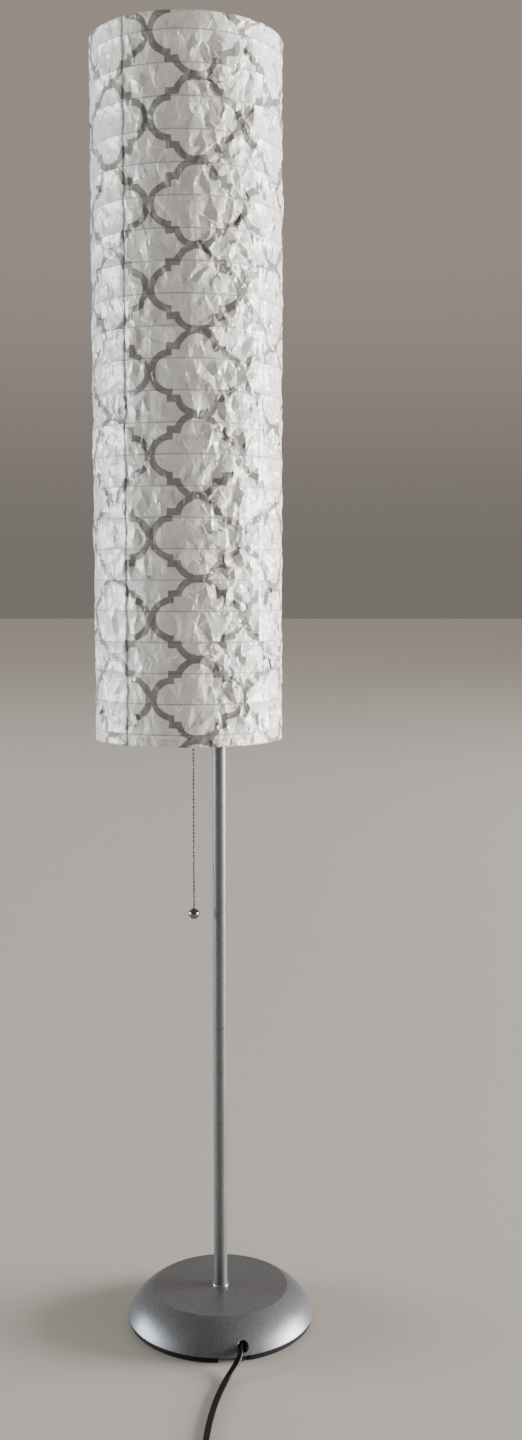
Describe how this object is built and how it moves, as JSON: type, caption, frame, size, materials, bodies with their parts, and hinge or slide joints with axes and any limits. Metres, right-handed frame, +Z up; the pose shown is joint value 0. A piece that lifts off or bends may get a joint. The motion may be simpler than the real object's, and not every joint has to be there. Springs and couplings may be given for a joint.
{
  "type": "floor lamp",
  "caption": "Slim floor lamp with a tall cylindrical paper lantern shade printed with a grey trellis, a jointed silver pole, a pull chain and a round weighted base.",
  "frame": {"origin": "on the pole's axis, on the underside of the base's felt, where the lamp meets the floor", "axes": "+Z up along the pole; -Y towards the front, where the cord leaves the base; +X to the right seen from the front, away from the shade's offset"},
  "size_m": [0.2546, 0.5258, 1.486],
  "materials": {
    "silver_paint": "satin silver-grey paint",
    "felt": "black felt",
    "black_plastic": "black moulded plastic",
    "weight": "cast cement weight",
    "steel": "zinc-plated steel",
    "bright_metal": "bright nickel plating",
    "chain_metal": "nickel-plated chain and ball",
    "brass": "plain brass",
    "liner": "insulating card",
    "bulb_glass": "frosted glass",
    "rib_wire": "thin coated wire",
    "shade_paper": "glossy crinkled white paper with a grey trellis",
    "cord_jacket": "black two-core flat lamp cord",
    "tie_plastic": "black strap",
    "plug_plastic": "black moulded plug"
  },
  "bodies": {
    "stand": {"felt_pad": "felt", "bottom_tray": "black_plastic", "tray_screws": "steel", "base_weight": "weight", "base_cover": "silver_paint", "cover_plate": "steel", "base_nipple": "steel", "base_washer": "steel", "base_nut": "steel", "foot_collar": "bright_metal", "cord_stop": "black_plastic", "foot_bushing": "steel", "lower_pole": "silver_paint", "lower_joint_bushings": "steel", "lower_joint_nipple": "steel", "middle_pole": "silver_paint", "upper_joint_bushings": "steel", "upper_joint_nipple": "steel", "top_pole": "silver_paint", "top_bushing": "steel", "holder_nipple": "steel", "stretcher_arm": "steel", "arm_screw": "steel", "holder_cap": "brass", "cap_screw": "steel", "switch_body": "black_plastic", "holder_shell": "brass", "holder_liner": "liner", "screw_shell": "brass", "centre_contact": "brass", "terminal_screws": "brass", "chain_guide": "brass", "lever_pin": "steel", "stretcher_rod": "steel", "rod_collars": "steel", "rod_caps": "steel", "top_ring": "steel", "bottom_ring": "steel", "rib_rings": "rib_wire", "shade_paper": "shade_paper", "top_hem": "shade_paper", "bottom_hem": "shade_paper", "pole_cord": "cord_jacket", "cord_tube": "cord_jacket", "cord_coil": "cord_jacket", "cord_tail": "cord_jacket", "coil_tie": "tie_plastic", "plug_body": "plug_plastic", "plug_blades": "brass"},
    "pull_lever": {"pull_lever": "brass"},
    "chain_top": {"chain_top": "chain_metal"},
    "chain": {"pull_chain": "chain_metal", "chain_ball": "chain_metal"},
    "bulb": {"bulb_cap": "bright_metal", "bulb_glass": "bulb_glass"}
  },
  "joints": [
    {"name": "chain_pull", "type": "slide", "parent": "stand", "child": "chain_top", "axis": [0, 0, -1], "range_m": [0, 0.0099], "stiffness_N_per_m": 150, "springref_m": -0.004},
    {"name": "lever_turn", "type": "hinge", "parent": "stand", "child": "pull_lever", "pos_m": [-0.00869, -0.00233, 0.92485], "axis": [0.2588, -0.9659, 0], "range_deg": [0, 26]},
    {"name": "chain_swing", "type": "hinge", "parent": "chain_top", "child": "chain", "pos_m": [-0.02994, -0.00802, 0.889], "axis": [1, 0, 0], "range_deg": [-15, 15]},
    {"name": "bulb_lift", "type": "slide", "parent": "stand", "child": "bulb", "axis": [0, 0, 1], "range_m": [0, 0.03]}
  ],
  "couplings": [
    {"joint": "lever_turn", "follows": "chain_pull", "rad_per_m": 45.847}
  ]
}
